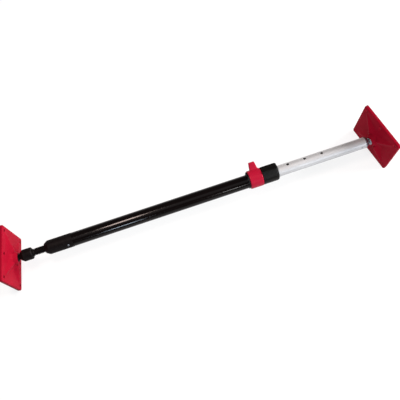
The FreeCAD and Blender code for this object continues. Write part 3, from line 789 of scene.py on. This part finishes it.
def retainer_screws(side):
    """Four button heads with hexagon sockets."""
    matrix = plate_matrix(side)
    seat = FACE - SHEET - 3.0
    parts = []
    sockets = []
    for i in range(4):
        angle = i * math.pi / 2
        shift = matrix @ Matrix.Translation((0, 21.8 * math.sin(angle), 21.8 * math.cos(angle)))
        head = [(seat + 0.8, 3.8), (seat - 0.3, 3.8), (seat - 1.0, 3.5), (seat - 1.7, 2.9), (seat - 2.2, 2.0)]
        parts.append(lathe_solid(head, shift, 40))
        sockets.append(lathe_solid([(seat - 0.9, 1.35), (seat - 3.0, 1.35)], shift, 6))
    obj = new_object(side + "_retainer_screw_heads", join(parts))
    combine(obj, join(sockets))
    place(obj, side + "_plate", "zinc_small", side + "_retainer_screws")


# ---- pieces that keep their CAD shape ----

def dress_cad_nodes():
    """Give every CAD node that is shown its slot's material."""
    slots = {part["node"]: part["material_slot"] for part in frame["record"]["subparts"]}
    for name, obj in frame["nodes"].items():
        for i in range(len(obj.material_slots)):
            obj.material_slots[i].material = material[slots[name]]
        obj.data.shade_smooth()
        obj.data.set_sharp_from_angle(angle=math.radians(30))


# ---- studio ----

def floor():
    """Plain pale floor."""
    size = 12.0
    bm = bmesh.new()
    corners = [(-size, -size, 0), (size, -size, 0), (size, size, 0), (-size, size, 0)]
    bm.faces.new([bm.verts.new(corner) for corner in corners])
    obj = new_object("floor", bm)
    mat = bpy.data.materials.new("floor_white")
    mat.use_nodes = True
    shader = mat.node_tree.nodes["Principled BSDF"]
    shader.inputs["Base Color"].default_value = (0.20, 0.20, 0.20, 1)
    shader.inputs["Emission Color"].default_value = (1, 1, 1, 1)
    shader.inputs["Emission Strength"].default_value = 0.80
    shader.inputs["Roughness"].default_value = 0.9
    shader.inputs["Specular IOR Level"].default_value = 0.1
    obj.data.materials.append(mat)


def area_light(name, location, target, size, power, colour):
    """Rectangular light that faces a target; its long side lies along X where it can."""
    data = bpy.data.lights.new(name, "AREA")
    data.shape = "RECTANGLE"
    data.size, data.size_y = size
    data.energy = power
    data.color = colour
    obj = bpy.data.objects.new(name, data)
    back = (Vector(location) - Vector(target)).normalized()
    across = Vector((1, 0, 0)) - back * back.x
    across = across.normalized() if across.length > 0.3 else Vector((0, 1, 0))
    turn = Matrix((across, back.cross(across), back)).transposed().to_4x4()
    obj.matrix_world = Matrix.Translation(location) @ turn
    bpy.context.scene.collection.objects.link(obj)


def lights():
    """Soft key from the right, broad overhead fill, and four small lights for the tubes' highlights."""
    middle = (0.0, 0.0, 0.07)
    area_light("key", (2.87, 0.1, 0.9), middle, (2.0, 1.5), 240, (1.0, 0.985, 0.97))
    area_light("overhead", (0.3, -0.35, 2.4), middle, (2.6, 1.5), 8.0, (1.0, 1.0, 1.0))
    area_light("front", (0.95, -1.25, 0.8), (0.5, 0.0, 0.07), (0.40, 0.40), 6.5, (0.82, 0.91, 1.0))
    area_light("warm", (-0.315, 0.12, 1.6), (-0.2, 0.0, 0.07), (0.20, 0.40), 13.5, (1.0, 0.80, 0.72))
    area_light("cool", (-0.318, -1.35, 0.69), (-0.2, 0.0, 0.07), (0.16, 0.25), 5.0, (0.72, 0.86, 1.0))
    area_light("grey", (0.30, -1.35, 0.744), (0.1, 0.0, 0.07), (0.10, 0.22), 1.7, (1.0, 1.0, 1.0))
    world = bpy.data.worlds.new("studio")
    world.use_nodes = True
    background = world.node_tree.nodes["Background"]
    background.inputs["Color"].default_value = (1, 1, 1, 1)
    background.inputs["Strength"].default_value = 0.18
    bpy.context.scene.world = world


def camera():
    """Camera high in front of the bar, looking steeply down, rolled so that the bar rises to the right.

    Its place, its two directions and its lens were fitted to the photograph.
    """
    data = bpy.data.cameras.new("camera")
    data.sensor_width = 36.0
    data.lens = 49.95
    obj = bpy.data.objects.new("camera", data)
    right = Vector((0.94623, -0.32199, -0.03107))
    up = Vector((0.31455, 0.89345, 0.32063))
    turn = Matrix((right, up, right.cross(up))).transposed().to_4x4()
    obj.matrix_world = Matrix.Translation((-0.1137, -0.49197, 1.52867)) @ turn
    bpy.context.scene.collection.objects.link(obj)
    bpy.context.scene.camera = obj


def main():
    """Build every piece, then the stage, the lights and the camera."""
    dress_cad_nodes()
    for build in (outer_tube, nut_sleeve, jack_screw, swivel_head, ball_studs, end_housing,
                  housing_screws, lock_ring, inner_tube, end_plug):
        build()
    domed_head(RIVET_X, SLEEVE_R, 2.6, 1.0, -76,
               "sleeve_rivet_heads", "tube", "zinc_small", "sleeve_rivets")
    domed_head(PLUG_RIVET_X, 15.8, 2.0, 0.6, 90,
               "plug_rivet_heads", "slider", "zinc_small", "plug_rivets")
    for side in SIDES:
        for build in (wall_plate, plate_pad, retainer, retainer_screws):
            build(side)
    floor()
    lights()
    camera()
    bpy.context.scene.view_settings.view_transform = "Standard"


main()
